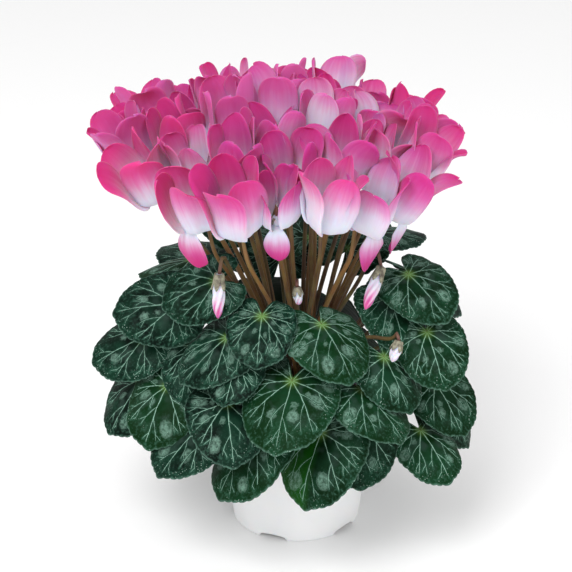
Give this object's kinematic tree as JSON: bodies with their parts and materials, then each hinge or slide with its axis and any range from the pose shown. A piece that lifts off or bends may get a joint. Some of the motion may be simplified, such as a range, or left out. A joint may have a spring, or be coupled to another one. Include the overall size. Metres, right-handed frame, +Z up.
{
  "type": "potted cyclamen",
  "caption": "Pink cyclamen in flower: a dome of swept-back blooms on bare stalks above a mound of marbled heart-shaped leaves, in a plain round footed nursery pot.",
  "frame": {"origin": "at the level of the surface the pot stands on, under the middle of the whole plant's overall box; the pot's own axis is upright at x = +7.6 mm, y = +3.5 mm", "axes": "+Z up along the pot's axis, -Y to the plant's front as pictured, +X to its right seen from the front"},
  "size_m": [0.2614, 0.261, 0.3269],
  "materials": {
    "pot": "satin",
    "soil": "matte",
    "tuber": "matte",
    "leaf": "satin",
    "stalk": "satin",
    "petal": "matte",
    "bud": "matte"
  },
  "bodies": {
    "root": {"pot": "pot", "soil": "soil", "tuber": "tuber", "leaves_01": "leaf", "leaves_02": "leaf", "leaves_03": "leaf", "leaves_04": "leaf", "leaves_05": "leaf", "leaves_06": "leaf", "leaves_07": "leaf", "leaves_08": "leaf", "leaves_09": "leaf", "leaves_10": "leaf", "flower_01": "petal", "flower_02": "petal", "flower_03": "petal", "flower_04": "petal", "flower_05": "petal", "flower_06": "petal", "flower_07": "petal", "flower_08": "petal", "flower_09": "petal", "flower_10": "petal", "flower_11": "petal", "flower_12": "petal", "flower_13": "petal", "flower_14": "petal", "flower_15": "petal", "flower_16": "petal", "flower_17": "petal", "flower_18": "petal", "flower_19": "petal", "flower_20": "petal", "flower_21": "petal", "flower_22": "petal", "flower_23": "petal", "flower_24": "petal", "flower_25": "petal", "flower_26": "petal", "flower_27": "petal", "flower_28": "petal", "flower_29": "petal", "flower_30": "petal", "flower_31": "petal", "flower_32": "petal", "flower_33": "petal", "flower_34": "petal", "flower_35": "petal", "flower_36": "petal", "flower_37": "petal", "bud_1": "bud", "bud_2": "bud", "bud_3": "bud", "bud_4": "bud", "flower_stalks_1": "stalk", "flower_stalks_2": "stalk", "flower_stalks_3": "stalk", "flower_stalks_4": "stalk", "flower_stalks_5": "stalk"}
  },
  "joints": []
}
